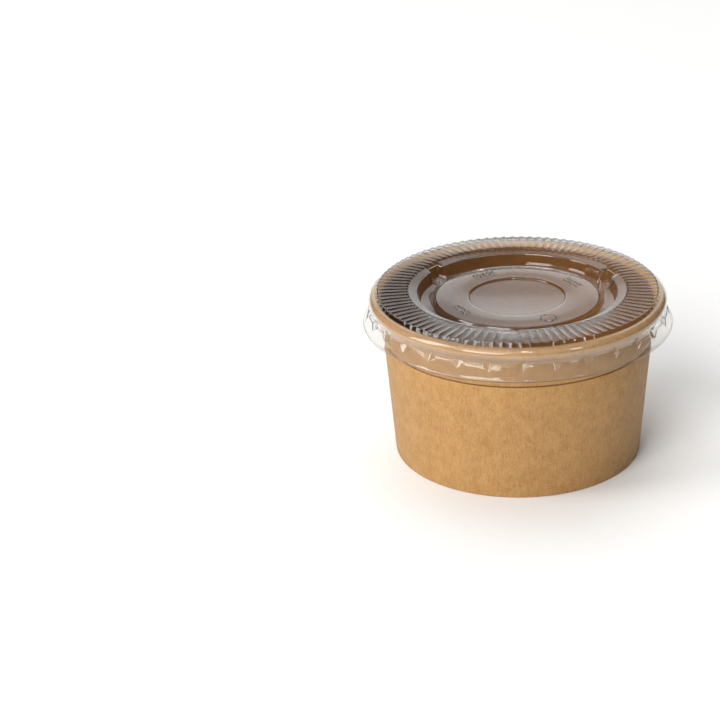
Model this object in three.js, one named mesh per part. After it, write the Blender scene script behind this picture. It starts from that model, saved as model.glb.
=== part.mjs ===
// Lidded portion cup for sauce, about 4 oz (120 ml): a tapered kraft-paper wall with a rolled rim,
// a recessed paper base, and a clear press-on plastic lid with a ring of radial pleats.
// Millimetres, +Z up. The origin is the centre of the foot, on the table. Angles are degrees round
// the axis, from the front (-Y) towards +X.

import * as THREE from 'three';

// Driving dimensions of the paper cup.
const board = 0.4; // thickness of the paper board
const footRadius = 31.9; // outside of the wall at the table
const wallFlare = 0.0786; // outside radius gained for each mm of height
const footCorner = 0.3; // rounding of the folded bottom edge
const hemHeight = 4.2; // top of the board turned in and up inside the foot
const floorHeight = 5.4; // inside floor of the cup
const floorCorner = 0.8; // bend where the base turns down into its skirt
const skirtFoot = 0.7; // lowest edge of the base's skirt
const fit = 0.08; // clearance between glued layers
const creaseHeight = 31.5; // rolled line round the wall, below the lid's flange
const creaseDepth = 0.15;
const creaseHalfWidth = 0.5;
const curlHeight = 41.07; // centre of the rolled rim
const curlRadius = 1.45; // outside radius of the roll
const curlEndAngle = -145; // where the rolled edge ends, below and inside

// Driving dimensions of the lid.
const sheet = 0.3; // thickness of the clear plastic
const seat = 0.12; // clearance between the lid and the rolled rim
const discRadius = 12.44; // shallow dish in the middle
const discDepth = 0.6;
const plateauRadius = 20.76; // raised round plateau about the dish
const plateauHeight = 41.5;
const plateauDraft = 0.6; // how far its wall leans out, down to the groove
const grooveHeight = 39.8; // floor of the ring-shaped groove about the plateau
const ledgeHeight = 43.15; // ledge between the groove and the pleats
const ledgeRise = 0.42; // how much it climbs towards the pleats
const ledgeInner = 25.3;
const ledgeDraft = 0.35; // how far its wall leans in, down to the groove
const notchReach = 27.1; // how far a notch cuts out into the ledge
const notchCentres = [115, 235, 355];
const notchHalfAngle = 4.5;
const pleatCount = 96;
const pleatInner = 28.1;
const pleatOuter = 35.75;
const pleatCrest = 44.1;
const pleatDepth = 0.36;
const pleatSlope = 0.45; // how far the inner ends lean over the ledge
const lugCount = 30; // V-shaped snap lugs in the skirt, under the rolled rim
const lugPhase = 1.8;
const lugHalfAngle = 2.7;
const lugInset = 0.4; // how far a lug reaches in under the roll
const undercutAngle = -40; // where the lid leaves the round of the rim
const lugTopHeight = 38.95;
const lugTopRadius = 38.0;
const lugTipHeight = 37.4;
const flangeRadius = 39.56; // free edge of the skirt
const flangeHeight = 35.35;
const lipDrop = 0.4; // small outward turn at the free edge
const lipReach = 0.25;

// How finely the round forms are divided.
const wallSegments = 72;
const coarseRing = 36;
const middleRing = 72;
const ledgeRing = 120;
const curlSteps = 8;
const rimSteps = 7;
const sharpest = 0.7; // least cosine allowed where the sheet's thickness turns a corner

const kraft = new THREE.MeshStandardMaterial({ color: 0xc39a62, roughness: 0.8, metalness: 0 });
const kraftBase = new THREE.MeshStandardMaterial({ color: 0xb88f59, roughness: 0.85, metalness: 0 });
const clearPlastic = new THREE.MeshStandardMaterial({
  color: 0xe9e6e2,
  roughness: 0.08,
  metalness: 0,
  transparent: true,
  opacity: 0.35,
});

const radians = THREE.MathUtils.degToRad;
const outerWall = (z) => footRadius + wallFlare * z;
const innerWall = (z) => outerWall(z) - board;
const curlCentre = outerWall(curlHeight) + curlRadius - board;
const rimRadius = curlRadius + seat + sheet; // round of the lid's outer face about the rolled rim

// Points of an arc in the (radius, height) plane, from one angle to another, both in degrees.
function arc(centreR, centreZ, radius, from, to, steps) {
  const points = [];
  for (let i = 0; i <= steps; i += 1) {
    const angle = radians(from + ((to - from) * i) / steps);
    points.push([centreR + radius * Math.cos(angle), centreZ + radius * Math.sin(angle)]);
  }
  return points;
}

// A solid turned about the vertical axis from an anticlockwise outline of [radius, height] points.
function turned(outline, segments) {
  const points = outline.map(([r, z]) => new THREE.Vector2(r, z));
  const geometry = new THREE.LatheGeometry(points, segments);
  geometry.rotateX(Math.PI / 2);
  return geometry;
}

// The side wall: one layer of board, turned in and up at the foot, creased near the top and rolled
// at the rim.
function cupWall() {
  const slot = board + 2 * fit;
  const hemOuter = (z) => innerWall(z) - slot;
  const hemInner = (z) => hemOuter(z) - board;
  const bore = curlRadius - board;
  const outline = [
    ...arc(footRadius - footCorner, footCorner, footCorner, -90, 0, 3),
    [outerWall(creaseHeight - creaseHalfWidth), creaseHeight - creaseHalfWidth],
    [outerWall(creaseHeight) - creaseDepth, creaseHeight],
    [outerWall(creaseHeight + creaseHalfWidth), creaseHeight + creaseHalfWidth],
    ...arc(curlCentre, curlHeight, bore, 180, curlEndAngle, curlSteps),
    ...arc(curlCentre, curlHeight, curlRadius, curlEndAngle, 180, curlSteps + 2),
    [innerWall(footCorner), footCorner],
    [hemOuter(footCorner), footCorner],
    [hemOuter(hemHeight), hemHeight],
    [hemInner(hemHeight), hemHeight],
    ...arc(hemInner(0) + footCorner, footCorner, footCorner, 180, 270, 3),
  ];
  outline.push(outline[0]);
  return turned(outline, wallSegments);
}

// The base: a disc of board whose edge turns down into a skirt, held in the slot of the wall's foot.
function cupBase() {
  const skirtOuter = (z) => innerWall(z) - fit;
  const skirtInner = (z) => skirtOuter(z) - board;
  const underside = floorHeight - board;
  const bend = floorHeight - floorCorner;
  const outline = [
    [0, underside],
    [skirtInner(bend) - floorCorner + board, underside],
    [skirtInner(bend), bend],
    [skirtInner(skirtFoot), skirtFoot],
    [skirtOuter(skirtFoot), skirtFoot],
    ...arc(skirtOuter(bend) - floorCorner, bend, floorCorner, 0, 90, 3),
    [0, floorHeight],
  ];
  return turned(outline, wallSegments);
}

// A ring of the lid's outer face: evenly spaced angles, with a [radius, height] for each of them.
function ring(count, phase, at) {
  const points = [];
  for (let i = 0; i < count; i += 1) {
    const angle = phase + (360 * i) / count;
    const [r, z] = at(angle, i);
    points.push({ angle, r, z });
  }
  return points;
}

const plainRing = (count, r, z) => ring(count, 0, () => [r, z]);

// True where the ledge is cut away by a notch.
function inNotch(angle) {
  return notchCentres.some((centre) => Math.abs(((angle - centre + 540) % 360) - 180) < notchHalfAngle);
}

// A ring of snap lugs: for each lug its left corner, its middle, its right corner and the gap to the
// next one.
function lugRing(corner, middle) {
  const points = [];
  const pitch = 360 / lugCount;
  for (let i = 0; i < lugCount; i += 1) {
    const centre = lugPhase + i * pitch;
    points.push({ angle: centre - lugHalfAngle, r: corner[0], z: corner[1] });
    points.push({ angle: centre, r: middle[0], z: middle[1] });
    points.push({ angle: centre + lugHalfAngle, r: corner[0], z: corner[1] });
    points.push({ angle: centre + pitch / 2, r: corner[0], z: corner[1] });
  }
  return points;
}

// The rings of the lid's outer face, from the middle of the dish out to the free edge of the skirt.
function lidRings() {
  const onSkirt = (z) => {
    const share = (lugTopHeight - z) / (lugTopHeight - flangeHeight - lipDrop);
    return THREE.MathUtils.lerp(lugTopRadius, flangeRadius - lipReach, share);
  };
  const ledgeEdge = (angle) => (inNotch(angle) ? notchReach : ledgeInner);
  const notchPhase = notchCentres[0] % (360 / ledgeRing);
  const pleatHeight = (i) => (i % 2 ? pleatCrest : pleatCrest - pleatDepth);
  const pleatsAt = (r) => ring(2 * pleatCount, 0, (angle, i) => [r, pleatHeight(i)]);
  const rim = arc(curlCentre, curlHeight, rimRadius, 90, undercutAngle, rimSteps);
  return [
    plainRing(coarseRing, discRadius - discDepth, plateauHeight - discDepth),
    plainRing(coarseRing, discRadius, plateauHeight),
    plainRing(middleRing, plateauRadius, plateauHeight),
    plainRing(middleRing, plateauRadius + plateauDraft, grooveHeight),
    ring(ledgeRing, notchPhase, (angle) => [ledgeEdge(angle) - ledgeDraft, grooveHeight]),
    ring(ledgeRing, notchPhase, (angle) => [ledgeEdge(angle), ledgeHeight]),
    plainRing(pleatCount, pleatInner - pleatSlope, ledgeHeight + ledgeRise),
    pleatsAt(pleatInner),
    pleatsAt(pleatOuter),
    ...rim.map(([r, z], i) => plainRing(i === 0 ? pleatCount : middleRing, r, z)),
    lugRing([lugTopRadius, lugTopHeight], [lugTopRadius - lugInset, lugTopHeight]),
    ring(2 * lugCount, lugPhase - 180 / lugCount, () => [onSkirt(lugTipHeight), lugTipHeight]),
    plainRing(2 * lugCount, flangeRadius - lipReach, flangeHeight + lipDrop),
    plainRing(2 * lugCount, flangeRadius, flangeHeight),
  ];
}

// The underside of the shell: every ring moved by the sheet's thickness across the mean profile.
function undersideOf(rings, thickness) {
  const mean = rings.map((points) => new THREE.Vector2(
    points.reduce((sum, point) => sum + point.r, 0) / points.length,
    points.reduce((sum, point) => sum + point.z, 0) / points.length,
  ));
  const across = (from, to) => {
    const along = to.clone().sub(from).normalize();
    return new THREE.Vector2(along.y, -along.x);
  };
  return rings.map((points, k) => {
    const before = across(mean[Math.max(k - 1, 0)], mean[Math.max(k, 1)]);
    const after = across(mean[Math.min(k, mean.length - 2)], mean[Math.min(k + 1, mean.length - 1)]);
    const shift = before.clone().add(after).normalize();
    shift.multiplyScalar(thickness / Math.max(shift.dot(before), sharpest));
    return points.map(({ angle, r, z }) => ({ angle, r: r + shift.x, z: z + shift.y }));
  });
}

// A closed shell from rings that need not have equal numbers of points, between a middle point and a
// free edge.
function shellOfRings(outerRings, thickness) {
  const positions = [];
  const indices = [];
  const addPoint = (angle, r, z) => {
    const turn = radians(angle);
    positions.push(r * Math.sin(turn), -r * Math.cos(turn), z);
    return positions.length / 3 - 1;
  };
  const addTriangle = (a, b, c, flipped) => indices.push(...(flipped ? [a, c, b] : [a, b, c]));
  const addRing = (points) => points.map(({ angle, r, z }) => ({ angle, index: addPoint(angle, r, z) }));

  // Triangles between two rings, going round both in order of angle.
  const stitch = (inner, outer, flipped) => {
    const at = (points, i) => points[i % points.length].index;
    const angleOf = (points, i) => points[i % points.length].angle + 360 * Math.floor(i / points.length);
    let i = 0;
    let j = 0;
    while (i < inner.length || j < outer.length) {
      const outerNext = angleOf(outer, j + 1) <= angleOf(inner, i + 1) + 1e-6;
      if (i === inner.length || (outerNext && j < outer.length)) {
        addTriangle(at(inner, i), at(outer, j), at(outer, j + 1), flipped);
        j += 1;
      } else {
        addTriangle(at(inner, i), at(outer, j), at(inner, i + 1), flipped);
        i += 1;
      }
    }
  };

  const addFace = (rings, flipped) => {
    const placed = rings.map(addRing);
    const middle = addPoint(0, 0, rings[0][0].z);
    const first = placed[0];
    first.forEach(({ index }, i) => {
      addTriangle(middle, index, first[(i + 1) % first.length].index, flipped);
    });
    for (let k = 1; k < placed.length; k += 1) {
      stitch(placed[k - 1], placed[k], flipped);
    }
    return placed[placed.length - 1];
  };

  const topEdge = addFace(outerRings, false);
  const undersideEdge = addFace(undersideOf(outerRings, thickness), true);
  stitch(topEdge, undersideEdge, false);
  const geometry = new THREE.BufferGeometry();
  geometry.setAttribute('position', new THREE.Float32BufferAttribute(positions, 3));
  geometry.setIndex(indices);
  geometry.computeVertexNormals();
  return geometry;
}

function named(name, geometry, material) {
  const mesh = new THREE.Mesh(geometry, material);
  mesh.name = name;
  return mesh;
}

const cup = new THREE.Group();
cup.add(named('cup_wall', cupWall(), kraft));
cup.add(named('cup_base', cupBase(), kraftBase));
cup.add(named('lid', shellOfRings(lidRings(), sheet), clearPlastic));

export default cup;
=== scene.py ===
"""A lidded paper sauce cup: the finish of a kraft-paper cup and its clear pleated lid.

Lengths are metres, +Z is up and the origin is the middle of the foot, on the table. Angles round
the cup are measured from the front (-Y) towards +X.
"""

import math

import bmesh
import bpy
from bpy.props import FloatProperty, FloatVectorProperty, IntProperty, PointerProperty
from mathutils import Matrix, Vector


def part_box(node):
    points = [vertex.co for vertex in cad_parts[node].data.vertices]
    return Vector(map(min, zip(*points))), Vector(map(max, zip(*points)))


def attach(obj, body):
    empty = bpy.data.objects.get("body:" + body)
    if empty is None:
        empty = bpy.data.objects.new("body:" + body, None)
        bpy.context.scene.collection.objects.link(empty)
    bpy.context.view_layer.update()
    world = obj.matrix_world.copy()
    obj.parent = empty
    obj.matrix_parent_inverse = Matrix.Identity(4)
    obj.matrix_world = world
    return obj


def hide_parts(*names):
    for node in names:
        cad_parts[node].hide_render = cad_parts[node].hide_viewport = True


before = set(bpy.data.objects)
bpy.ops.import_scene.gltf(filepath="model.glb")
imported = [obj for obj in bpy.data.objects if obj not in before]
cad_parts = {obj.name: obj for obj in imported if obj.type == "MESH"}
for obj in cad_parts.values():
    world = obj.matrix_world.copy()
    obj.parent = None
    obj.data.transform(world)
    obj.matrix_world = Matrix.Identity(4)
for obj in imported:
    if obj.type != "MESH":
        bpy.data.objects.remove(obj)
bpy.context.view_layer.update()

bl_info = {
    "name": "Lidded sauce cup",
    "version": (1, 0, 0),
    "blender": (4, 5, 0),
    "location": "3D View > Sidebar > Sauce cup",
    "description": "Makes a kraft-paper portion cup with a clear pleated lid",
    "category": "Add Mesh",
}

MM = 0.001
BODY = "root"
UNDERSIDE = "underside"

# Columns of the paper meshes round the cup, and how many equal sectors they are spun in.
WALL_COLUMNS, WALL_SECTORS = 384, 24
BASE_COLUMNS, BASE_SECTORS = 192, 12
# Edges sharper than this stay crisp, in degrees.
PAPER_CRISP, LID_CRISP, MARK_CRISP = 50, 42, 60
# Places in a piece's list of materials: on the wall and base, where the inside's board is darker,
# partly its coating and partly painted shade, and on the lid.
COATED_AND_SHADED = 1
CUT_EDGE, SKIRT = 1, 2

# Where the columns of the lid's mesh lie within a pleat: from a valley over the crest, at 0.5.
PLEAT_SPOTS = (0, 0.12, 0.24, 0.35, 0.46, 0.5, 0.54, 0.65, 0.76, 0.88)
# Middles of the notches in the ledge, in degrees.
NOTCHES = (115, 235, 355)
# Middles of the rows of dashes, and of the ring of dashes, on the plateau, in degrees.
MARKED_ROWS = (122, 211, 304)
MARKED_RING = 28
# How far the dashes of a row are turned, in degrees, one after the other.
DASH_TURNS = (-20, 35)

# Heights that the pieces take from the frame.
WALL_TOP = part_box("cup_wall")[1][2]
BASE_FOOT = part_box("cup_base")[0][2]
BASE_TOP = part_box("cup_base")[1][2]
LID_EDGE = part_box("lid")[0][2]


def linear(hex_colour):
    """Turns an sRGB hex colour into the linear colour that a shader takes."""
    channels = [int(hex_colour[i:i + 2], 16) / 255 for i in (1, 3, 5)]
    return tuple(c / 12.92 if c <= 0.04045 else ((c + 0.055) / 1.055) ** 2.4 for c in channels)


def length(name, description, default_mm):
    """A length that a user can change, given in millimetres."""
    return FloatProperty(
        name=name, description=description, default=default_mm * MM, precision=5,
        unit="LENGTH", subtype="DISTANCE",
    )


def angle(name, description, default_degrees):
    """An angle that a user can change, given in degrees."""
    return FloatProperty(
        name=name, description=description, default=math.radians(default_degrees),
        unit="ROTATION", subtype="ANGLE",
    )


def power(name, description, watts):
    """The power of a lamp that a user can change."""
    return FloatProperty(
        name=name, description=description, default=watts, min=0, unit="POWER", subtype="POWER",
    )


def share(name, description, default):
    """A number from 0 to 1 that a user can change."""
    return FloatProperty(name=name, description=description, default=default, min=0, max=1)


def colour(name, description, hex_colour):
    """A colour that a user can change, given as an sRGB hex value."""
    return FloatVectorProperty(
        name=name, description=description, default=linear(hex_colour), size=3,
        min=0, max=1, subtype="COLOR",
    )


class CupSizes(bpy.types.PropertyGroup):
    """Sizes of the paper cup."""

    board: length("Board", "Thickness of the paper board", 0.4)
    foot_radius: length("Foot radius", "Outside of the wall at the table", 31.9)
    flare: share("Flare", "Outside radius gained for each unit of height", 0.0786)
    foot_corner: length("Foot corner", "Rounding of the folded bottom edge", 0.3)
    hem_height: length("Hem height", "Top of the board turned in and up inside the foot", 4.2)
    hem_ribs: IntProperty(name="Hem ribs", description="Pressed ribs round the hem", default=96)
    hem_rib_depth: length("Hem rib depth", "Depth of the ribs pressed into the hem", 0.07)
    hem_rib_foot: length("Hem rib foot", "Height of the lower ends of the ribs", 1.3)
    hem_rib_top: length("Hem rib top", "Height of the upper ends of the ribs", 3.5)
    fit: length("Fit", "Clearance between glued layers", 0.08)
    floor_corner: length("Floor corner", "Bend where the base turns down into its skirt", 0.8)
    crease_height: length("Crease height", "Rolled line round the wall", 31.5)
    crease_depth: length("Crease depth", "Depth of the rolled line", 0.3)
    crease_half_width: length("Crease half width", "Half the width of the rolled line", 0.4)
    curl_radius: length("Curl radius", "Outside radius of the rolled rim", 1.45)
    curl_end: angle("Curl end", "Where the rolled edge ends, below and inside", -145)
    seam_angle: angle("Seam angle", "Edge of the side seam, on the right", 104)
    seam_lap: length("Seam lap", "How far the board overlaps at the side seam", 7.5)
    seam_step: length("Seam step", "Height of the board's edge at the side seam", 0.3)
    seam_settle: angle("Seam settle", "Turn over which the wall falls back into its round", 7)


class LidSizes(bpy.types.PropertyGroup):
    """Sizes of the clear lid."""

    sheet: length("Sheet", "Thickness of the plastic", 0.3)
    seat: length("Seat", "Clearance between the lid and the rolled rim", 0.12)
    disc_radius: length("Dish radius", "Shallow dish in the middle", 12.44)
    disc_depth: length("Dish depth", "Depth of the dish", 0.6)
    disc_corner: length("Dish corner", "Rounding of the dish's inner corner", 0.35)
    disc_edge: length("Dish edge", "Rounding of the dish's upper edge", 0.9)
    plateau_radius: length("Plateau radius", "Raised round plateau about the dish", 20.76)
    plateau_height: length("Plateau height", "Top of the plateau", 41.5)
    plateau_draft: length("Plateau draft", "How far its wall leans out", 0.6)
    plateau_edge: length("Plateau edge", "Rounding of its upper edge", 0.35)
    groove_height: length("Groove height", "Bottom of the round groove about the plateau", 39.8)
    groove_bend: length("Groove bend", "Rounding of the bottom of the groove", 1.4)
    ledge_radius: length("Ledge radius", "Inner edge of the ledge", 25.3)
    ledge_height: length("Ledge height", "Top of the ledge's inner edge", 43.15)
    ledge_flat: length("Ledge flat", "Width of the level part of the ledge", 0.7)
    ledge_rise: length("Ledge rise", "How much the ledge climbs to the pleats", 0.42)
    ledge_draft: length("Ledge draft", "How far its wall leans in", 0.35)
    ledge_edge: length("Ledge edge", "Rounding of the ledge's inner edge", 0.7)
    ledge_bend: length("Ledge bend", "Rounding of the bend where the ledge starts to climb", 0.4)
    notch_reach: length("Notch reach", "How far a notch cuts out into the ledge", 1.8)
    notch_half_width: length("Notch half width", "Half the width of a notch", 2.0)
    notch_corner: length("Notch corner", "Rounding of a notch's corners", 1.1)
    mark_radius: length("Mark radius", "Middle of the raised marks", 16.7)
    mark_length: length("Mark length", "Length of a raised dash", 1.1)
    mark_width: length("Mark width", "Width of a raised dash", 0.28)
    mark_height: length("Mark height", "Height of a raised dash", 0.2)
    mark_pitch: length("Mark pitch", "From one dash or row to the next", 1.35)
    mark_ring: length("Mark ring", "Radius of the ring of dashes", 2.0)
    mark_edge: length("Mark edge", "Rounding of a dash's edges", 0.06)
    pleats: IntProperty(name="Pleats", description="Number of radial pleats", default=96)
    pleat_inner: length("Pleat inner end", "Radius where the pleats start", 28.1)
    pleat_outer: length("Pleat outer end", "Radius where the pleats end", 35.75)
    pleat_slope: length("Pleat slope", "How far their inner ends lean over the ledge", 0.45)
    pleat_foot_corner: length("Pleat foot corner", "Rounding at the foot of the slope", 0.1)
    pleat_end_edge: length("Pleat end edge", "Rounding of the ends of the pleats", 0.15)
    pleat_top: length("Pleat top", "Height of the crests", 44.1)
    pleat_depth: length("Pleat depth", "From a crest down to a valley", 0.3)
    pleat_crest: share("Pleat crest", "Share of a pleat that is its narrow flat crest", 0.06)
    pleat_sheet: length("Pleat sheet", "Thickness of the plastic where it is drawn into pleats", 0.16)
    lugs: IntProperty(name="Lugs", description="Number of snap lugs in the skirt", default=30)
    lug_phase: angle("Lug phase", "Middle of the first lug", 1.875)
    lug_half_angle: angle("Lug half angle", "Half the width of a lug", 2.625)
    lug_depth: length("Lug depth", "How far a lug's point reaches down", 1.55)
    lug_base: length("Lug base", "Height where the skirt under the lugs is round again", 36.6)
    lug_inset: length("Lug inset", "How far a lug reaches in under the rim", 0.5)
    waist_angle: angle("Waist angle", "Where the lid leaves the round of the rim", -30)
    waist_radius: length("Waist radius", "Narrowest part under the rim", 37.72)
    crease_height: length("Crease height", "Line where the skirt starts", 38.95)
    skirt_radius: length("Skirt radius", "Outside of the skirt at the crease", 38.05)
    flange_radius: length("Flange radius", "Free edge of the skirt", 39.56)
    lip_reach: length("Lip reach", "Outward turn at the free edge", 0.34)
    lip_height: length("Lip height", "Height of the turn over the free edge", 0.4)
    lip_bend: length("Lip bend", "Rounding where the skirt turns outward", 0.25)


class CupColours(bpy.types.PropertyGroup):
    """Colours of the materials."""

    kraft_light: colour("Kraft, light", "Pale fibres of the board", "#BC935D")
    kraft_dark: colour("Kraft, dark", "Dark fibres of the board", "#9E723F")
    kraft_speck: colour("Kraft, specks", "Bark specks in the board", "#8A5C31")
    # The inside's tones are darker than the outside's: partly the coating, partly painted shade for
    # the inside of the cup.
    coated_shaded_light: colour("Coated, light", "Pale fibres under the inner coating", "#825931")
    coated_shaded_dark: colour("Coated, dark", "Dark fibres under the inner coating", "#694320")
    clear: colour("Clear sheet", "What the sheet lets through", "#ECECEB")
    haze: colour("Haze", "What the rim and skirt faintly scatter", "#F2F2F1")
    skirt: colour("Skirt", "What the sheet of the rim and skirt lets through", "#F0EEEA")
    cut: colour("Cut edge", "What the sheet's cut edge lets through", "#8F8E8B")
    floor: colour("Floor", "The matt white surface that the cup stands on", "#F4F4F3")


class StageSettings(bpy.types.PropertyGroup):
    """The camera, where it looks, and the power of the lamps."""

    distance: length("Distance", "From the camera to the middle of the cup", 528.26)
    elevation: angle("Elevation", "Height of the camera over the cup's middle", 23.67)
    target_height: length("Target height", "Middle of the cup that the camera is turned round", 30)
    pan: angle("Pan", "Turn of the view towards the left", 4.823)
    tilt: angle("Tilt", "Downward tilt of the view", 24.243)
    roll: angle("Roll", "Turn of the picture about its middle", -2.092)
    lens: FloatProperty(name="Lens", description="Focal length on a 36 mm sensor", default=102.18)
    key_power: power("Key", "Soft light on the front left of the wall", 64)
    fill_power: power("Fill", "Soft light on the floor from above", 12)
    strip_power: power("Strip", "Tall softbox on the left, with the long highlights", 15.5)
    top_power: power("Top", "Soft light on the paper from high in front", 17)
    front_power: power("Front", "Small lamp over the camera", 0.7)
    side_power: power("Side", "Small lamp on the right, for the sparkles", 0.5)


# ---------------------------------------------------------------- shapes


def smooth_step(low, high, value):
    """Rises smoothly from 0 at low to 1 at high."""
    x = min(max((value - low) / (high - low), 0), 1)
    return x * x * (3 - 2 * x)


def arc(centre, radius, start, end, steps):
    """Points of an arc in the (radius, height) plane, between two angles in radians."""
    points = []
    for i in range(steps + 1):
        turn = start + (end - start) * i / steps
        points.append((centre[0] + radius * math.cos(turn), centre[1] + radius * math.sin(turn)))
    return points


def rounded(corners, steps):
    """An outline through (radius, height, fillet) corners; a fillet of 0 keeps the corner."""
    outline = []
    for i, (r, z, fillet) in enumerate(corners):
        corner = Vector((r, z))
        if not fillet:
            outline.append(tuple(corner))
            continue
        before = (Vector(corners[i - 1][:2]) - corner).normalized()
        after = (Vector(corners[i + 1][:2]) - corner).normalized()
        half = before.angle(after) / 2
        start = corner + before * fillet / math.tan(half)
        end = corner + after * fillet / math.tan(half)
        centre = corner + (before + after).normalized() * fillet / math.sin(half)
        for k in range(steps + 1):
            outward = (start - centre).slerp(end - centre, k / steps)
            outline.append(tuple(centre + outward * fillet))
    return outline


def parallel(corners, distance):
    """The (radius, height, fillet) corners of a line that runs beside another, to its right."""
    least_fillet = 0.05 * MM
    points = [Vector(corner[:2]) for corner in corners]
    sides = []
    for start, end in zip(points, points[1:]):
        along = (end - start).normalized()
        sides.append(Vector((along.y, -along.x)))
    moved = []
    for i, (r, z, fillet) in enumerate(corners):
        before, after = sides[max(i - 1, 0)], sides[min(i, len(sides) - 1)]
        shift = (before + after) * distance / (1 + before.dot(after))
        turns_right = before.cross(after) < 0
        radius = max(fillet + (-distance if turns_right else distance), least_fillet)
        moved.append((r + shift.x, z + shift.y, radius if fillet else 0))
    return moved


def spun(outline, steps, sectors, closed, underside=()):
    """A bmesh turned about the cup's axis from (radius, height) points: one sector is spun and
    then repeated all round. The columns start at the front. Points of the underside are marked."""
    bm = bmesh.new()
    under = bm.verts.layers.int.new(UNDERSIDE)
    verts = []
    for r, z in [*outline, *underside]:
        vert = bm.verts.new((0, -r, z))
        vert[under] = len(verts) >= len(outline)
        verts.append(vert)
    pairs = list(zip(verts, verts[1:]))
    if closed:
        pairs.append((verts[-1], verts[0]))
    edges = [bm.edges.new(pair) for pair in pairs]
    sector = math.tau / sectors
    turned = {"cent": (0, 0, 0), "axis": (0, 0, 1), "dvec": (0, 0, 0), "use_normal_flip": False}
    bmesh.ops.spin(
        bm, geom=verts + edges, angle=sector, steps=steps // sectors, use_merge=False,
        use_duplicate=False, **turned,
    )
    bmesh.ops.spin(
        bm, geom=[*bm.verts, *bm.edges, *bm.faces], angle=math.tau - sector, steps=sectors - 1,
        use_merge=False, use_duplicate=True, **turned,
    )
    bmesh.ops.remove_doubles(bm, verts=bm.verts, dist=0.001 * MM)
    bmesh.ops.recalc_face_normals(bm, faces=bm.faces)
    return bm


def placed(turn, r, z):
    """The point at an angle round the cup, a radius and a height."""
    return Vector((r * math.sin(turn), -r * math.cos(turn), z))


def turn_of(point):
    """The angle of a point round the cup, from 0 to a full turn."""
    return math.atan2(point.x, -point.y) % math.tau


def add_piece(bm, name, materials, sharp_degrees):
    """Makes an object of a finished bmesh and lets it ride on the cup."""
    mesh = bpy.data.meshes.new(name)
    bm.to_mesh(mesh)
    bm.free()
    for material in materials:
        mesh.materials.append(material)
    mesh.shade_smooth()
    mesh.set_sharp_from_angle(angle=math.radians(sharp_degrees))
    piece = bpy.data.objects.new(name, mesh)
    bpy.context.scene.collection.objects.link(piece)
    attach(piece, BODY)
    return piece


# ---------------------------------------------------------------- materials


def add_node(tree, kind, inputs=None, **settings):
    """Adds a node, gives it its settings, and sets or links its inputs."""
    node = tree.nodes.new(kind)
    for name, value in settings.items():
        setattr(node, name, value)
    for name, value in (inputs or {}).items():
        if isinstance(value, bpy.types.NodeSocket):
            tree.links.new(value, node.inputs[name])
        else:
            node.inputs[name].default_value = value
    return node


def new_material(name):
    """An empty material with its node tree."""
    material = bpy.data.materials.new(name)
    material.use_nodes = True
    material.node_tree.nodes.clear()
    return material, material.node_tree


def kraft_board(name, light, dark, speck, roughness):
    """Brown kraft board: matt, with a short cloudy fibre grain, paler and darker flecks and a few bark
    specks. The inside is the same board with a low sheen from its coating, and darker: partly the
    coating and partly painted shade for the inside of the cup."""
    material, tree = new_material(name)
    coords = add_node(tree, "ShaderNodeTexCoord").outputs["Object"]
    # Cloudy formation of the sheet, about 3 mm across.
    cloud = add_node(
        tree, "ShaderNodeTexNoise",
        {"Vector": coords, "Scale": 1 / (3 * MM), "Detail": 2.0, "Roughness": 0.5},
    ).outputs["Fac"]
    # Fibre ends and pulp grain, about 0.4 mm, the finest that shows at this distance.
    grain = add_node(
        tree, "ShaderNodeTexNoise",
        {"Vector": coords, "Scale": 1 / (0.42 * MM), "Detail": 3.0, "Roughness": 0.75},
    ).outputs["Fac"]
    # Fibres lying up the wall, about 2 mm long.
    stretched = add_node(
        tree, "ShaderNodeMapping", {"Vector": coords, "Scale": (1, 1, 0.25)}, vector_type="POINT",
    ).outputs["Vector"]
    fibres = add_node(
        tree, "ShaderNodeTexNoise",
        {"Vector": stretched, "Scale": 1 / (0.45 * MM), "Detail": 2.0, "Distortion": 0.6},
    ).outputs["Fac"]
    cloud_and_grain = add_node(
        tree, "ShaderNodeMix", {0: 0.68, 2: cloud, 3: grain}, data_type="FLOAT",
    ).outputs[0]
    pulp = add_node(
        tree, "ShaderNodeMix", {0: 0.3, 2: cloud_and_grain, 3: fibres}, data_type="FLOAT",
    ).outputs[0]
    spread = add_node(
        tree, "ShaderNodeMapRange",
        {"Value": pulp, "From Min": 0.37, "From Max": 0.63, "To Min": 0.0, "To Max": 1.0},
    ).outputs["Result"]
    paper = add_node(
        tree, "ShaderNodeMix",
        {0: spread, 6: (*dark, 1), 7: (*light, 1)}, data_type="RGBA",
    ).outputs[2]
    # Bark specks of about 0.3 mm, one every few millimetres.
    cells = add_node(
        tree, "ShaderNodeTexVoronoi", {"Vector": coords, "Scale": 1 / (2.2 * MM)},
    )
    speck_spot = add_node(
        tree, "ShaderNodeMapRange",
        {"Value": cells.outputs["Distance"], "From Min": 0.05, "From Max": 0.12,
         "To Min": 0.55, "To Max": 0.0},
    ).outputs["Result"]
    finished = add_node(
        tree, "ShaderNodeMix",
        {0: speck_spot, 6: paper, 7: (*speck, 1)}, data_type="RGBA",
    ).outputs[2]
    relief = add_node(
        tree, "ShaderNodeBump",
        {"Height": pulp, "Strength": 0.35, "Distance": 0.06 * MM},
    ).outputs["Normal"]
    surface = add_node(
        tree, "ShaderNodeBsdfPrincipled",
        {"Base Color": finished, "Roughness": roughness, "IOR": 1.45, "Normal": relief},
    )
    add_node(tree, "ShaderNodeOutputMaterial", {"Surface": surface.outputs[0]})
    return material


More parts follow.
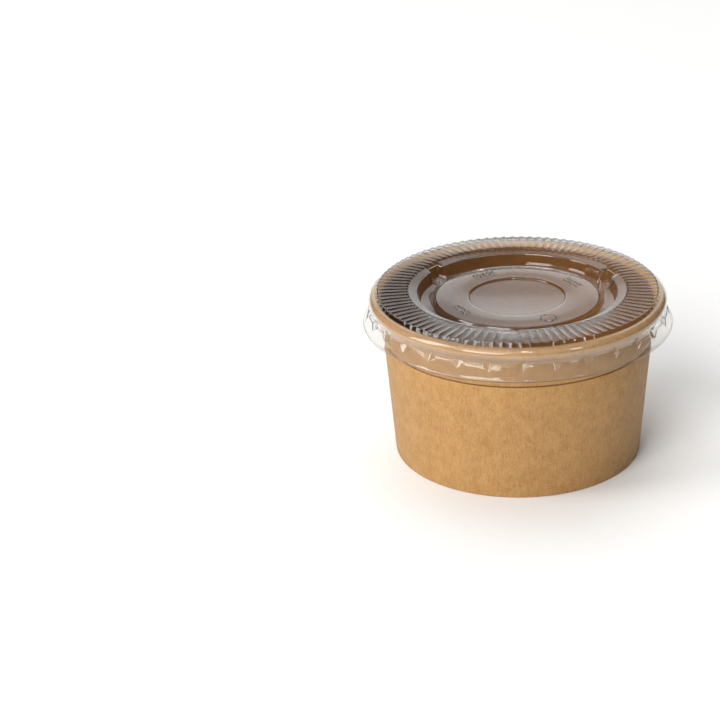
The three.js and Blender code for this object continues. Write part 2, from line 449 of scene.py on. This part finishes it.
def clear_plastic(name, tint, haze):
    """Clear PET sheet, thermoformed: glossy and colourless, with bright edges where it bends.
    Haze is the share of the light that it scatters as a faint white. Lamp light and soft light
    pass straight through, so that the paper under it stays bright."""
    material, tree = new_material(name)
    coords = add_node(tree, "ShaderNodeTexCoord").outputs["Object"]
    # Slow unevenness of the drawn sheet, about 8 mm across.
    wave = add_node(
        tree, "ShaderNodeTexNoise", {"Vector": coords, "Scale": 1 / (8 * MM), "Detail": 1.0},
    ).outputs["Fac"]
    relief = add_node(
        tree, "ShaderNodeBump", {"Height": wave, "Strength": 0.3, "Distance": 0.05 * MM},
    ).outputs["Normal"]
    sheet = add_node(
        tree, "ShaderNodeBsdfPrincipled",
        {"Base Color": (*tint, 1), "Roughness": 0.03, "IOR": 1.57,
         "Transmission Weight": 1.0, "Normal": relief},
    ).outputs[0]
    scattered = add_node(
        tree, "ShaderNodeBsdfDiffuse", {"Color": (*bpy.context.scene.cup_colours.haze, 1)},
    ).outputs[0]
    hazy = add_node(tree, "ShaderNodeMixShader", {0: haze, 1: sheet, 2: scattered}).outputs[0]
    # One face of the sheet lets nearly all of the soft light through.
    passing = add_node(
        tree, "ShaderNodeBsdfTransparent", {"Color": (*linear("#FFFFFE"), 1)},
    ).outputs[0]
    path = add_node(tree, "ShaderNodeLightPath")
    unseen = add_node(
        tree, "ShaderNodeMath",
        {0: path.outputs["Is Shadow Ray"], 1: path.outputs["Is Diffuse Ray"]},
        operation="MAXIMUM",
    ).outputs[0]
    mixed = add_node(tree, "ShaderNodeMixShader", {0: unseen, 1: hazy, 2: passing})
    add_node(tree, "ShaderNodeOutputMaterial", {"Surface": mixed.outputs[0]})
    return material


def clear_sheet():
    """The faces of the sheet, made once."""
    found = bpy.data.materials.get("clear_pet_sheet")
    clear = bpy.context.scene.cup_colours.clear
    return found or clear_plastic("clear_pet_sheet", clear, haze=0.0)


def cut_edge():
    """The sheet's cut edge: a thin grey line round the skirt, as the light is lost along it."""
    return clear_plastic("clear_pet_cut_edge", bpy.context.scene.cup_colours.cut, haze=0.0)


def skirt_sheet():
    """The sheet of the rim and skirt, drawn deepest: a faint pale haze over the paper and a light
    grey where it hangs free."""
    return clear_plastic("clear_pet_skirt", bpy.context.scene.cup_colours.skirt, haze=0.035)


def white_floor(tone):
    """Matt white board: soft shadows and no shine."""
    material, tree = new_material("matt_white_floor")
    coords = add_node(tree, "ShaderNodeTexCoord").outputs["Object"]
    tooth = add_node(
        tree, "ShaderNodeTexNoise", {"Vector": coords, "Scale": 1 / (2 * MM), "Detail": 2.0},
    ).outputs["Fac"]
    relief = add_node(
        tree, "ShaderNodeBump", {"Height": tooth, "Strength": 0.05, "Distance": 0.05 * MM},
    ).outputs["Normal"]
    surface = add_node(
        tree, "ShaderNodeBsdfPrincipled",
        {"Base Color": (*tone, 1), "Roughness": 0.9, "Specular IOR Level": 0.2, "Normal": relief},
    )
    add_node(tree, "ShaderNodeOutputMaterial", {"Surface": surface.outputs[0]})
    return material


def outer_kraft():
    """The uncoated board of the outside, made once."""
    tones = bpy.context.scene.cup_colours
    found = bpy.data.materials.get("kraft_board")
    return found or kraft_board(
        "kraft_board", tones.kraft_light, tones.kraft_dark, tones.kraft_speck, roughness=0.56,
    )


def inner_kraft_and_shade():
    """The board of the inside, made once: its coating gives a low sheen, and its darker tones are
    partly the coating and partly painted shade for the inside of the cup.
    """
    tones = bpy.context.scene.cup_colours
    found = bpy.data.materials.get("coated_shaded_kraft_board")
    return found or kraft_board(
        "coated_shaded_kraft_board", tones.coated_shaded_light, tones.coated_shaded_dark, tones.kraft_speck,
        roughness=0.42,
    )


# ---------------------------------------------------------------- paper cup


def outer_wall(z):
    """Outside radius of the paper wall at a height."""
    sizes = bpy.context.scene.cup_sizes
    return sizes.foot_radius + sizes.flare * z


def inner_wall(z):
    """Inside radius of the paper wall at a height."""
    return outer_wall(z) - bpy.context.scene.cup_sizes.board


def curl_centre():
    """Middle of the rolled rim's round section, as (radius, height)."""
    sizes = bpy.context.scene.cup_sizes
    height = WALL_TOP - sizes.curl_radius
    return outer_wall(height) + sizes.curl_radius - sizes.board, height


def wall_outline():
    """Section of the side wall: one layer of board, turned in at the foot and rolled at the rim."""
    sizes = bpy.context.scene.cup_sizes
    corner = sizes.foot_corner
    slot = sizes.board + 2 * sizes.fit
    centre = curl_centre()
    top, bottom = math.pi, sizes.curl_end
    crease_steps = 4
    crease = []
    for i in range(-crease_steps, crease_steps + 1):
        z = sizes.crease_height + sizes.crease_half_width * i / crease_steps
        dent = sizes.crease_depth * (1 + math.cos(math.pi * i / crease_steps)) / 2
        crease.append((outer_wall(z) - dent, z))

    def hem_outer(z):
        return inner_wall(z) - slot

    def hem_inner(z):
        return hem_outer(z) - sizes.board

    hem_top = sizes.hem_height
    # Heights of plain rings of the mesh: up to the crease, and over it outside and inside.
    low_rings = (8 * MM, 16 * MM, 24 * MM)
    high_outside, high_inside = 36 * MM, 32 * MM
    # The ribs of the hem end between two close rings.
    rib_ease = 0.1 * MM
    rib_rings = [
        end + ease for end in (sizes.hem_rib_top, sizes.hem_rib_foot) for ease in (rib_ease, -rib_ease)
    ]
    return [
        *arc((sizes.foot_radius - corner, corner), corner, -math.pi / 2, 0, 6),
        *[(outer_wall(z), z) for z in low_rings],
        *crease,
        (outer_wall(high_outside), high_outside),
        *arc(centre, sizes.curl_radius - sizes.board, top, bottom, 20),
        *arc(centre, sizes.curl_radius, bottom, top, 30),
        (inner_wall(high_inside), high_inside),
        *[(inner_wall(z), z) for z in reversed(low_rings)],
        (inner_wall(corner), corner),
        (hem_outer(corner), corner),
        (hem_outer(hem_top), hem_top),
        (hem_inner(hem_top), hem_top),
        *[(hem_inner(z), z) for z in rib_rings],
        *arc((hem_inner(0) + corner, corner), corner, math.pi, 1.5 * math.pi, 6),
    ]


def seam_shift(turn, outside):
    """How far the side seam moves the wall's outer or inner face in or out, at an angle."""
    sizes = bpy.context.scene.cup_sizes
    lap = sizes.seam_lap / sizes.foot_radius
    settle = sizes.seam_settle
    past_edge = turn - sizes.seam_angle
    if not outside:
        past_edge = -(past_edge + lap)
    half_step = sizes.seam_step / 2
    if past_edge > 0:
        shift = -half_step * (1 - smooth_step(0, settle, past_edge))
    else:
        shift = half_step * smooth_step(-lap - settle, -lap, past_edge)
    return shift if outside else -shift


def lap_the_seam(bm, steps):
    """Draws two columns of the wall together at each board edge of the seam and steps them. The
    step is lower in the roll, and on the inside it ends just over the base."""
    sizes = bpy.context.scene.cup_sizes
    lap = sizes.seam_lap / sizes.foot_radius
    pitch = math.tau / steps
    # How near to a board edge its two columns are drawn, and how far from it the wall is moved.
    near, reach = math.radians(0.05), math.radians(30)
    roll_strength = 0.4
    seam_foot = BASE_TOP + 1 * MM
    centre_r, centre_z = curl_centre()
    for vert in bm.verts:
        turn, r, z = turn_of(vert.co), vert.co.xy.length, vert.co.z
        if abs(turn - sizes.seam_angle) > reach:
            continue
        in_roll = z > centre_z - sizes.curl_radius and r > outer_wall(z) - sizes.board / 2
        if in_roll:
            outside = math.hypot(r - centre_r, z - centre_z) < sizes.curl_radius - sizes.board / 2
        else:
            outside = r > outer_wall(z) - sizes.board / 2
        edge = sizes.seam_angle if outside else sizes.seam_angle - lap
        if abs(turn - edge) < pitch:
            turn = edge + math.copysign(near, turn - edge)
        if outside and not in_roll:
            strength = 1
        elif z < seam_foot:
            strength = 0
        else:
            strength = roll_strength if in_roll else 1
        vert.co = placed(turn, r + strength * seam_shift(turn, outside), z)


def press_the_hem(bm):
    """Presses the fine upright ribs into the hem's inner face."""
    sizes = bpy.context.scene.cup_sizes
    hem_outer = sizes.foot_radius - 2 * sizes.board - 2 * sizes.fit
    for vert in bm.verts:
        turn, r, z = turn_of(vert.co), vert.co.xy.length, vert.co.z
        if r > hem_outer - sizes.board / 2 or not sizes.hem_rib_foot < z < sizes.hem_rib_top:
            continue
        dent = sizes.hem_rib_depth * (1 + math.cos(turn * sizes.hem_ribs)) / 2
        vert.co = placed(turn, r + dent, z)


class CUP_OT_make_wall(bpy.types.Operator):
    """Makes the kraft-paper side wall with its rolled rim, crease, hem and lapped side seam"""

    bl_idname = "cup.make_wall"
    bl_label = "Paper wall"

    def execute(self, context):
        bm = spun(wall_outline(), WALL_COLUMNS, WALL_SECTORS, closed=True)
        lap_the_seam(bm, WALL_COLUMNS)
        press_the_hem(bm)
        centre_z = curl_centre()[1]
        board = context.scene.cup_sizes.board
        # Inside faces take the darker inside board: its coating, and painted shade for the inside of
        # the cup.
        for face in bm.faces:
            middle = face.calc_center_median()
            r = middle.xy.length
            inside = BASE_TOP < middle.z < centre_z and r < outer_wall(middle.z) - board / 2
            face.material_index = COATED_AND_SHADED if inside else 0
        boards = [outer_kraft(), inner_kraft_and_shade()]
        wall = add_piece(bm, "paper_wall", boards, PAPER_CRISP)
        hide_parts("cup_wall")
        return {"FINISHED"}


class CUP_OT_make_base(bpy.types.Operator):
    """Makes the recessed paper base with its skirt"""

    bl_idname = "cup.make_base"
    bl_label = "Paper base"

    def execute(self, context):
        sizes = context.scene.cup_sizes
        top = BASE_TOP
        underside = top - sizes.board
        bend = top - sizes.floor_corner
        foot = BASE_FOOT

        def skirt_outer(z):
            return inner_wall(z) - sizes.fit

        def skirt_inner(z):
            return skirt_outer(z) - sizes.board

        inner_bend, outer_bend = sizes.floor_corner - sizes.board, sizes.floor_corner
        # Radii of the plain rings of the flat base's mesh.
        flat_rings = (12 * MM, 24 * MM)
        outline = [
            (0, underside),
            *[(r, underside) for r in flat_rings],
            *arc((skirt_inner(bend) - inner_bend, bend), inner_bend, math.pi / 2, 0, 5),
            (skirt_inner(foot), foot),
            (skirt_outer(foot), foot),
            *arc((skirt_outer(bend) - outer_bend, bend), outer_bend, 0, math.pi / 2, 6),
            *[(r, top) for r in reversed(flat_rings)],
            (0, top),
        ]
        bm = spun(outline, BASE_COLUMNS, BASE_SECTORS, closed=False)
        # The base's top inside the cup takes the darker inside board: its coating, and painted shade.
        coated_and_shaded_from = bend + 0.2 * MM
        for face in bm.faces:
            coated_and_shaded = face.calc_center_median().z > coated_and_shaded_from and face.normal.z > 0
            face.material_index = COATED_AND_SHADED if coated_and_shaded else 0
        boards = [outer_kraft(), inner_kraft_and_shade()]
        base = add_piece(bm, "paper_base", boards, PAPER_CRISP)
        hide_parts("cup_base")
        return {"FINISHED"}


# ---------------------------------------------------------------- clear lid


def skirt_radius_at(z):
    """Outside radius of the lid's straight skirt at a height."""
    sizes = bpy.context.scene.lid_sizes
    lip_top = LID_EDGE + sizes.lip_height
    fall = (sizes.crease_height - z) / (sizes.crease_height - lip_top)
    return sizes.skirt_radius + (sizes.flange_radius - sizes.lip_reach - sizes.skirt_radius) * fall


def lid_faces():
    """Sections of the lid's outer face and of its underside, from the middle of the dish to the
    skirt's free edge."""
    sizes = bpy.context.scene.lid_sizes
    cup = bpy.context.scene.cup_sizes
    rim_radius = cup.curl_radius + sizes.seat + sizes.sheet
    centre = curl_centre()
    dish = sizes.plateau_height - sizes.disc_depth
    dish_foot = sizes.disc_radius - 0.7 * sizes.disc_depth
    plateau_foot = sizes.plateau_radius + sizes.plateau_draft
    pleat_foot = sizes.pleat_inner - sizes.pleat_slope
    # Heights on the skirt: over and under its crease, half way down, the lip and the free edge.
    crease = sizes.crease_height
    over_crease, under_crease = crease + 0.2 * MM, crease - 0.25 * MM
    crease_step, shoulder_bend = 0.05 * MM, 0.3 * MM
    half_way = 37 * MM
    lip_top = LID_EDGE + sizes.lip_height
    free_edge = LID_EDGE + 0.15 * MM
    inside = [
        (0, dish, 0),
        (dish_foot, dish, sizes.disc_corner),
        (sizes.disc_radius, sizes.plateau_height, sizes.disc_edge),
        (sizes.plateau_radius, sizes.plateau_height, sizes.plateau_edge),
        (plateau_foot, sizes.groove_height, sizes.groove_bend),
        (sizes.ledge_radius - sizes.ledge_draft, sizes.groove_height, sizes.groove_bend),
        (sizes.ledge_radius, sizes.ledge_height, sizes.ledge_edge),
        (sizes.ledge_radius + sizes.ledge_flat, sizes.ledge_height, sizes.ledge_bend),
        (pleat_foot, sizes.ledge_height + sizes.ledge_rise, sizes.pleat_foot_corner),
        (sizes.pleat_inner, sizes.pleat_top, sizes.pleat_end_edge),
        (sizes.pleat_outer, sizes.pleat_top, sizes.pleat_end_edge),
        (centre[0], centre[1] + rim_radius, 0),
    ]
    outside = [
        (*arc(centre, rim_radius, 0, sizes.waist_angle, 1)[-1], 0),
        (sizes.waist_radius, over_crease, 0),
        (sizes.waist_radius + crease_step, crease, 0),
        (skirt_radius_at(under_crease), under_crease, shoulder_bend),
        (skirt_radius_at(half_way), half_way, 0),
        (skirt_radius_at(lip_top), lip_top, sizes.lip_bend),
        (sizes.flange_radius, free_edge, 0),
    ]

    def face(depth):
        return [
            *rounded(parallel(inside, depth), 2)[:-1],
            *arc(centre, rim_radius - depth, math.pi / 2, sizes.waist_angle, 10),
            *rounded(parallel(outside, depth), 2)[1:],
        ]

    return face(0), face(sizes.sheet)[::-1]


def notch_cut(turn, r):
    """How much of a notch's depth is cut at an angle: 1 in a notch, 0 on the ledge."""
    sizes = bpy.context.scene.lid_sizes
    full = sizes.notch_half_width - 0.2 * sizes.notch_corner
    none = sizes.notch_half_width + sizes.notch_corner
    cut = 0
    for centre in NOTCHES:
        away = abs((turn - math.radians(centre) + math.pi) % math.tau - math.pi) * r
        cut = max(cut, 1 - smooth_step(full, none, away))
    return cut


def lug_share(turn):
    """1 in the middle of a snap lug, falling evenly to 0 at its corners."""
    sizes = bpy.context.scene.lid_sizes
    pitch = math.tau / sizes.lugs
    away = abs((turn - sizes.lug_phase + pitch / 2) % pitch - pitch / 2)
    return max(0, 1 - away / sizes.lug_half_angle)


def pleated(step, per_pleat, z, under):
    """Angle and height of a point of the pleats: round valleys between narrow crests. The sheet
    is thinner there, so its underside lies closer."""
    sizes = bpy.context.scene.lid_sizes
    phase = PLEAT_SPOTS[step % per_pleat]
    foot = sizes.ledge_height + sizes.ledge_rise
    rise = min(max((z + sizes.sheet * under - foot) / (sizes.pleat_top - foot), 0), 1)
    turn = (step // per_pleat + phase) * math.tau / sizes.pleats
    z += under * rise * (sizes.sheet - sizes.pleat_sheet)
    from_valley = min(2 * min(phase, 1 - phase) / (1 - sizes.pleat_crest), 1)
    return turn, z - sizes.pleat_depth * rise * (1 - from_valley ** 2)


def lugged(turn, r, z):
    """Radius and height of a point at a snap lug: the waist drops into a V between two creases."""
    sizes = bpy.context.scene.lid_sizes
    crease = sizes.crease_height
    lug = lug_share(turn)
    if z > crease + 0.01 * MM:
        return r - sizes.lug_inset * lug, z
    if z < sizes.lug_base:
        return r, z
    recess = skirt_radius_at(z) - r
    z -= sizes.lug_depth * lug * (z - sizes.lug_base) / (crease - sizes.lug_base)
    return skirt_radius_at(z) - recess * (1 - lug), z


def form_the_lid(bm, steps):
    """Moves the turned sheet into its pleats, its notched ledge and its snap lugs."""
    sizes = bpy.context.scene.lid_sizes
    under = bm.verts.layers.int[UNDERSIDE]
    pleat_foot = sizes.pleat_inner - sizes.pleat_slope
    rim_middle = curl_centre()[0]
    # The rings that are moved: the pleats with their foot's rounding, the groove's outer wall with
    # the ledge, and the skirt up to the line over its crease.
    pleats_from, pleats_to = pleat_foot - 0.05 * MM, rim_middle + 0.01 * MM
    ledge_from = sizes.plateau_radius + 1.5 * MM
    skirt_to = sizes.crease_height + 0.3 * MM
    for vert in bm.verts:
        turn, r, z = turn_of(vert.co), vert.co.xy.length, vert.co.z
        depth = sizes.sheet * vert[under]
        step = round(turn / math.tau * steps)
        if pleats_from < r < pleats_to:
            turn, z = pleated(step, steps // sizes.pleats, z, vert[under])
        elif ledge_from < r < rim_middle:
            room = (pleat_foot - r) / (pleat_foot - sizes.ledge_radius)
            r += sizes.notch_reach * notch_cut(turn, r) * min(max(room, 0), 1)
        elif r > rim_middle and z < skirt_to:
            r, z = lugged(turn, r + depth, z)
            r -= depth
        vert.co = placed(turn, r, z)


class CUP_OT_make_lid(bpy.types.Operator):
    """Makes the clear lid: dish, plateau, notched ledge, pleats, rim, snap lugs and skirt"""

    bl_idname = "cup.make_lid"
    bl_label = "Clear lid"

    def execute(self, context):
        sizes = context.scene.lid_sizes
        steps = len(PLEAT_SPOTS) * sizes.pleats
        top, underside = lid_faces()
        bm = spun(top, steps, sizes.lugs, closed=False, underside=underside)
        form_the_lid(bm, steps)
        under = bm.verts.layers.int[UNDERSIDE]
        rim_middle = curl_centre()[0]
        for face in bm.faces:
            if len({vert[under] for vert in face.verts}) > 1:
                face.material_index = CUT_EDGE
            elif face.calc_center_median().xy.length > rim_middle:
                face.material_index = SKIRT
        sheets = [clear_sheet(), cut_edge(), skirt_sheet()]
        lid = add_piece(bm, "clear_lid_sheet", sheets, LID_CRISP)
        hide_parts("lid")
        return {"FINISHED"}


def add_dash(bm, degrees, along, out, turned):
    """Adds one dash to a mark: the mark's place round the plateau, how far along and outward the
    dash lies from the mark's middle, and its own turn. Half of its height is in the sheet."""
    sizes = bpy.context.scene.lid_sizes
    place = (
        Matrix.Rotation(math.radians(degrees), 4, "Z")
        @ Matrix.Translation((along, -sizes.mark_radius - out, sizes.plateau_height))
        @ Matrix.Rotation(turned, 4, "Z")
        @ Matrix.Diagonal((sizes.mark_length, sizes.mark_width, 2 * sizes.mark_height, 1))
    )
    made = bmesh.ops.create_cube(bm, size=1, matrix=place)
    edges = {edge for vert in made["verts"] for edge in vert.link_edges}
    bmesh.ops.bevel(
        bm, geom=list(edges), offset=sizes.mark_edge, affect="EDGES", segments=2, profile=0.5,
        material=-1,
    )


class CUP_OT_make_marks(bpy.types.Operator):
    """Makes the plain raised marks on the lid's plateau: rows of dashes and a ring of them"""

    bl_idname = "cup.make_marks"
    bl_label = "Raised marks"

    def execute(self, context):
        sizes = context.scene.lid_sizes
        bm = bmesh.new()
        rows, half_row, ring_dashes = 2, 2, 9
        for degrees in MARKED_ROWS:
            for row in range(rows):
                out = (row - 0.5) * sizes.mark_pitch
                for i in range(-half_row, half_row + 1):
                    turned = math.radians(DASH_TURNS[(i + row) % 2])
                    add_dash(bm, degrees, i * sizes.mark_pitch, out, turned)
        for i in range(ring_dashes):
            around = i * math.tau / ring_dashes
            along, out = sizes.mark_ring * math.cos(around), sizes.mark_ring * math.sin(around)
            add_dash(bm, MARKED_RING, along, out, math.pi / 2 - around)
        add_piece(bm, "lid_marks", [clear_sheet()], MARK_CRISP)
        return {"FINISHED"}


# ---------------------------------------------------------------- stage


def direction(azimuth, elevation):
    """A unit vector from the cup: azimuth from the front towards +X, elevation up, in degrees."""
    across, up = math.radians(azimuth), math.radians(elevation)
    return Vector((math.sin(across) * math.cos(up), -math.cos(across) * math.cos(up), math.sin(up)))


def add_softbox(name, azimuth, elevation, away, width, height, watts):
    """An area lamp that faces the cup: its direction in degrees, its distance and size in metres."""
    lamp = bpy.data.lights.new(name, "AREA")
    lamp.shape = "RECTANGLE"
    lamp.size = width
    lamp.size_y = height
    lamp.energy = watts
    holder = bpy.data.objects.new(name, lamp)
    toward = direction(azimuth, elevation)
    holder.location = toward * away
    holder.rotation_euler = toward.to_track_quat("Z", "Y").to_euler()
    bpy.context.scene.collection.objects.link(holder)
    return holder


def add_camera():
    """The camera at the photograph's viewing angle."""
    view = bpy.context.scene.cup_stage
    back, up = math.cos(view.elevation), math.sin(view.elevation)
    place = Vector((0, -view.distance * back, view.target_height + view.distance * up))
    pan, tilt, roll = -view.pan, view.tilt, view.roll
    ahead = Vector((math.sin(pan) * math.cos(tilt), math.cos(pan) * math.cos(tilt), -math.sin(tilt)))
    right = ahead.cross(Vector((0, 0, 1))).normalized()
    above = right.cross(ahead)
    picture_right = right * math.cos(roll) + above * math.sin(roll)
    picture_up = above * math.cos(roll) - right * math.sin(roll)
    lens = bpy.data.cameras.new("camera")
    lens.lens = view.lens
    lens.sensor_width = 36
    lens.clip_start = 0.01
    camera = bpy.data.objects.new("camera", lens)
    turned = Matrix((picture_right, picture_up, -ahead)).transposed()
    camera.matrix_world = Matrix.Translation(place) @ turned.to_4x4()
    bpy.context.scene.collection.objects.link(camera)
    bpy.context.scene.camera = camera


def add_surroundings():
    """A studio as the lid mirrors it: a bright backdrop behind the cup, dimmer where the flats of
    the lid mirror it and brighter over that, up to a dark ceiling; a soft glow on the left in
    front; and dark everywhere else. Heights and widths are parts of a unit direction."""
    world = bpy.data.worlds.new("studio")
    world.use_nodes = True
    tree = world.node_tree
    tree.nodes.clear()
    coords = add_node(tree, "ShaderNodeTexCoord").outputs["Generated"]
    parts = add_node(tree, "ShaderNodeSeparateXYZ", {"Vector": coords})

    def ramp(value, start, end, low, high):
        return add_node(
            tree, "ShaderNodeMapRange",
            {"Value": value, "From Min": start, "From Max": end, "To Min": low, "To Max": high},
            interpolation_type="SMOOTHSTEP",
        ).outputs["Result"]

    def product(first, second):
        return add_node(
            tree, "ShaderNodeMath", {0: first, 1: second}, operation="MULTIPLY",
        ).outputs[0]

    across = add_node(
        tree, "ShaderNodeMath", {0: parts.outputs["X"]}, operation="ABSOLUTE",
    ).outputs[0]
    depth, height = parts.outputs["Y"], parts.outputs["Z"]
    behind = product(ramp(depth, 0.0, 0.3, 0.0, 1.0), ramp(across, 0.28, 0.56, 1.0, 0.0))
    dip = ramp(height, 0.36, 0.44, 0.98, 0.74)
    rising = product(dip, ramp(height, 0.47, 0.62, 1.0, 1.45))
    backdrop = product(rising, ramp(height, 0.66, 0.82, 1.0, 0.08))
    dark_room = ramp(height, 0.55, 0.9, 0.03, 0.2)
    room = add_node(
        tree, "ShaderNodeMix", {0: behind, 2: dark_room, 3: backdrop}, data_type="FLOAT",
    ).outputs[0]
    toward_glow = add_node(
        tree, "ShaderNodeVectorMath", {0: coords, 1: direction(-45, 50)}, operation="DOT_PRODUCT",
    ).outputs["Value"]
    glow = ramp(toward_glow, 0.78, 0.98, 0.0, 0.9)
    tone = add_node(tree, "ShaderNodeMath", {0: room, 1: glow}, operation="ADD").outputs[0]
    light = add_node(tree, "ShaderNodeBackground", {"Color": (1, 0.99, 0.98, 1), "Strength": tone})
    add_node(tree, "ShaderNodeOutputWorld", {"Surface": light.outputs[0]})
    bpy.context.scene.world = world


def add_floor():
    """The pale floor, wide enough to fill the picture."""
    half_width = 6
    bm = bmesh.new()
    bmesh.ops.create_grid(bm, x_segments=8, y_segments=8, size=half_width)
    mesh = bpy.data.meshes.new("floor")
    bm.to_mesh(mesh)
    bm.free()
    mesh.materials.append(white_floor(bpy.context.scene.cup_colours.floor))
    floor = bpy.data.objects.new("floor", mesh)
    bpy.context.scene.collection.objects.link(floor)
    return floor


def light_only(lamp, name, pieces):
    """Lets a lamp light only some objects, listed in a collection."""
    lit = bpy.data.collections.new(name)
    for piece in pieces:
        lit.objects.link(piece)
    lamp.light_linking.receiver_collection = lit


def add_lamps(floor):
    """Soft lamps that light the paper and the floor without a mirror image of their own, and
    smaller ones for the highlights on the plastic."""
    watts = bpy.context.scene.cup_stage
    key = add_softbox("key", -27, 33, 3.2, 1.6, 1.6, watts.key_power)
    fill = add_softbox("fill", -160, 74, 1.6, 1.2, 1.2, watts.fill_power)
    top = add_softbox("top", -25, 60, 2.2, 1.2, 1.2, watts.top_power)
    for lamp in (key, fill, top):
        lamp.visible_glossy = False
    for lamp in (fill, top):
        lamp.visible_transmission = False
    light_only(fill, "ground", [floor])
    paper = [bpy.context.scene.objects[name] for name in ("paper_wall", "paper_base")]
    light_only(top, "paper", paper)
    add_softbox("strip", -77, 33, 2.2, 0.8, 1.6, watts.strip_power)
    front = add_softbox("front", 12, 66, 1.0, 0.1, 0.08, watts.front_power)
    side = add_softbox("side", 50, 42, 1.0, 0.13, 0.13, watts.side_power)
    for lamp in (front, side):
        lamp.visible_diffuse = False


class CUP_OT_make_stage(bpy.types.Operator):
    """Makes the pale floor, the studio light and the camera"""

    bl_idname = "cup.make_stage"
    bl_label = "Stage"

    def execute(self, context):
        add_lamps(add_floor())
        add_surroundings()
        add_camera()
        context.scene.view_settings.view_transform = "Standard"
        # Enough for a ray that crosses the many faces of the lid's sheet.
        context.scene.cycles.transparent_max_bounces = 48
        context.scene.cycles.transmission_bounces = 16
        context.scene.cycles.max_bounces = 20
        return {"FINISHED"}


class CUP_PT_sidebar(bpy.types.Panel):
    """The cup's steps, sizes and colours"""

    bl_idname = "CUP_PT_sidebar"
    bl_label = "Sauce cup"
    bl_space_type = "VIEW_3D"
    bl_region_type = "UI"
    bl_category = "Sauce cup"

    def draw(self, context):
        for operator in OPERATORS:
            self.layout.operator(operator.bl_idname)
        for name in GROUPS:
            box = self.layout.box()
            group = getattr(context.scene, name)
            for field in type(group).__annotations__:
                box.prop(group, field)


GROUPS = {
    "cup_sizes": CupSizes,
    "lid_sizes": LidSizes,
    "cup_colours": CupColours,
    "cup_stage": StageSettings,
}
OPERATORS = [
    CUP_OT_make_wall, CUP_OT_make_base, CUP_OT_make_lid, CUP_OT_make_marks, CUP_OT_make_stage,
]


def register():
    for group in GROUPS.values():
        bpy.utils.register_class(group)
    for name, group in GROUPS.items():
        setattr(bpy.types.Scene, name, PointerProperty(type=group))
    for operator in OPERATORS:
        bpy.utils.register_class(operator)
    bpy.utils.register_class(CUP_PT_sidebar)


def unregister():
    bpy.utils.unregister_class(CUP_PT_sidebar)
    for operator in reversed(OPERATORS):
        bpy.utils.unregister_class(operator)
    for name, group in reversed(GROUPS.items()):
        delattr(bpy.types.Scene, name)
        bpy.utils.unregister_class(group)


def main():
    """Makes the cup and its stage."""
    register()
    bpy.ops.cup.make_wall()
    bpy.ops.cup.make_base()
    bpy.ops.cup.make_lid()
    bpy.ops.cup.make_marks()
    bpy.ops.cup.make_stage()


if __name__ == "__main__":
    main()
